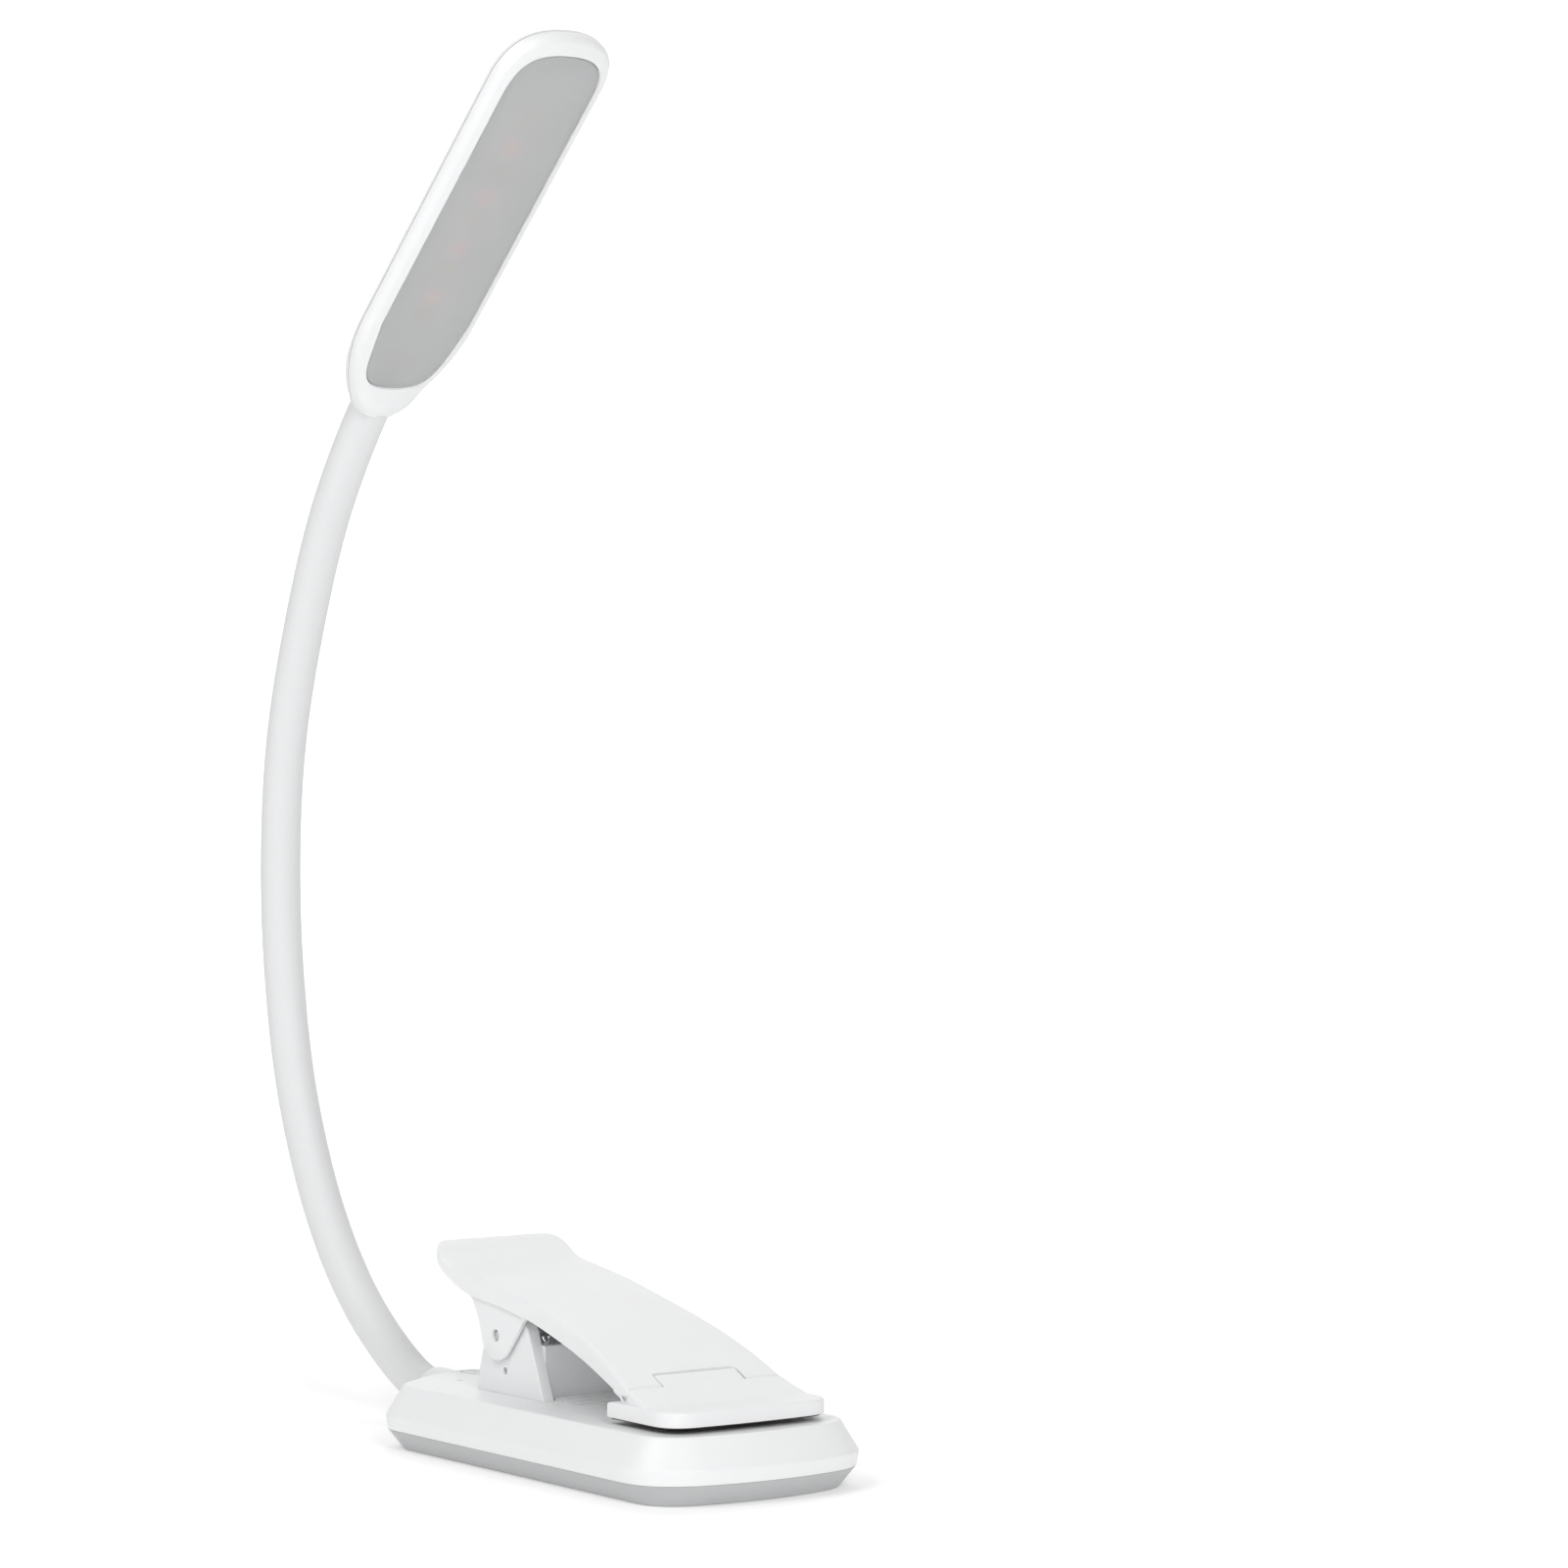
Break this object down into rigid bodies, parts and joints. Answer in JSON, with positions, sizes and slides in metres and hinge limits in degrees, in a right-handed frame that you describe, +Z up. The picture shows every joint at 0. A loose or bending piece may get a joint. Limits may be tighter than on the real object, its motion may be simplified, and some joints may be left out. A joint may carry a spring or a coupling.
{
  "type": "clip-on reading lamp",
  "caption": "Rechargeable clip-on reading lamp: flat base with a sprung clip, bendable round neck and a slim lamp head with LEDs behind a diffuser.",
  "frame": {"origin": "on the underside of the base, at the middle of its flat-sided body, on the plane of symmetry", "axes": "+Z up, +Y from the clip's jaw towards the neck, X across the base"},
  "size_m": [0.052, 0.1707, 0.2766],
  "materials": {
    "white_shell": "satin",
    "soft_white": "satin",
    "key_white": "satin",
    "frosted": "frosted",
    "clear_pipe": "clear",
    "pad_rubber": "matt",
    "steel": "ground",
    "dark_steel": "drawn wire",
    "brass": "turned",
    "board_green": "solder mask",
    "board_white": "solder mask",
    "cell_wrap": "foil",
    "switch_black": "moulded",
    "warm_led": "moulded",
    "rose_led": "moulded"
  },
  "bodies": {
    "base": {"base_top_shell": "white_shell", "base_bottom_cover": "white_shell", "grip_pad": "soft_white", "clip_bracket": "white_shell", "pivot_pin": "steel", "spring_rest_pin": "steel", "clip_spring": "dark_steel", "main_board": "board_green", "usb_socket": "steel", "battery_cell": "cell_wrap", "neck_anchor_bush": "brass", "switch_body": "switch_black", "light_pipe_1": "clear_pipe", "light_pipe_2": "clear_pipe", "light_pipe_3": "clear_pipe", "light_pipe_4": "clear_pipe", "cover_screw_1": "steel", "cover_screw_2": "steel", "cover_screw_3": "steel", "cover_screw_4": "steel", "neck_sleeve_root": "soft_white", "neck_core_root": "dark_steel"},
    "lever": {"lever": "white_shell", "jaw_pin": "steel"},
    "jaw": {"jaw_plate": "white_shell", "jaw_pad": "pad_rubber"},
    "button": {"button_cap": "key_white", "switch_plunger": "switch_black"},
    "neck_1": {"neck_sleeve_1": "soft_white", "neck_core_1": "dark_steel"},
    "neck_2": {"neck_sleeve_2": "soft_white", "neck_core_2": "dark_steel"},
    "neck_3": {"neck_sleeve_3": "soft_white", "neck_core_3": "dark_steel"},
    "neck_4": {"neck_sleeve_4": "soft_white", "neck_core_4": "dark_steel"},
    "neck_5": {"neck_sleeve_5": "soft_white", "neck_core_5": "dark_steel"},
    "neck_6": {"neck_sleeve_6": "soft_white", "neck_core_6": "dark_steel"},
    "head": {"neck_sleeve_tip": "soft_white", "neck_core_tip": "dark_steel", "neck_clamp": "brass", "head_bezel": "white_shell", "head_back_shell": "white_shell", "diffuser": "frosted", "led_board": "board_white", "led_1": "warm_led", "led_2": "rose_led", "led_3": "warm_led", "led_4": "rose_led", "led_5": "warm_led", "led_6": "rose_led", "led_7": "warm_led", "led_8": "rose_led", "led_9": "warm_led"}
  },
  "joints": [
    {"name": "lever_hinge", "type": "hinge", "parent": "base", "child": "lever", "pos_m": [0, 0.0222, 0.0239], "axis": [-1, 0, 0], "range_deg": [0, 24], "stiffness_Nm_per_rad": 0.45, "springref_deg": -28.65, "deforming": ["clip_spring"]},
    {"name": "jaw_tilt", "type": "hinge", "parent": "lever", "child": "jaw", "pos_m": [0, -0.0251, 0.0178], "axis": [1, 0, 0], "range_deg": [0, 14.4]},
    {"name": "button_press", "type": "slide", "parent": "base", "child": "button", "axis": [0, 0, -1], "range_m": [0, 0.0004], "stiffness_N_per_m": 1500, "springref_m": -0.0004},
    {"name": "neck_bend_1_fore_aft", "type": "hinge", "parent": "base", "child": "neck_1", "pos_m": [-0.00004, 0.07196, 0.00826], "axis": [0.9999, 0.0097, 0.0035], "range_deg": [-25, 25]},
    {"name": "neck_bend_2_sideways", "type": "hinge", "parent": "neck_1", "child": "neck_2", "pos_m": [-0.0012, 0.0998, 0.03032], "axis": [0, 0.8115, -0.5843], "range_deg": [-25, 25]},
    {"name": "neck_bend_3_fore_aft", "type": "hinge", "parent": "neck_2", "child": "neck_3", "pos_m": [-0.00347, 0.11391, 0.06311], "axis": [0.9974, 0.0161, 0.07], "range_deg": [-25, 25]},
    {"name": "neck_bend_4_sideways", "type": "hinge", "parent": "neck_3", "child": "neck_4", "pos_m": [-0.00617, 0.11649, 0.09883], "axis": [0, 0.9995, 0.0322], "range_deg": [-25, 25]},
    {"name": "neck_bend_5_fore_aft", "type": "hinge", "parent": "neck_4", "child": "neck_5", "pos_m": [-0.00835, 0.11197, 0.13443], "axis": [0.9989, -0.0108, 0.0467], "range_deg": [-25, 25]},
    {"name": "neck_bend_6_sideways", "type": "hinge", "parent": "neck_5", "child": "neck_6", "pos_m": [-0.0094, 0.10031, 0.16844], "axis": [0, 0.9244, 0.3815], "range_deg": [-25, 25]},
    {"name": "neck_bend_7_fore_aft", "type": "hinge", "parent": "neck_6", "child": "head", "pos_m": [-0.00891, 0.08332, 0.20009], "axis": [0.9992, 0.0232, -0.0338], "range_deg": [-25, 25]}
  ],
  "couplings": [
    {"joint": "jaw_tilt", "follows": "lever_hinge", "ratio": 0.6}
  ]
}
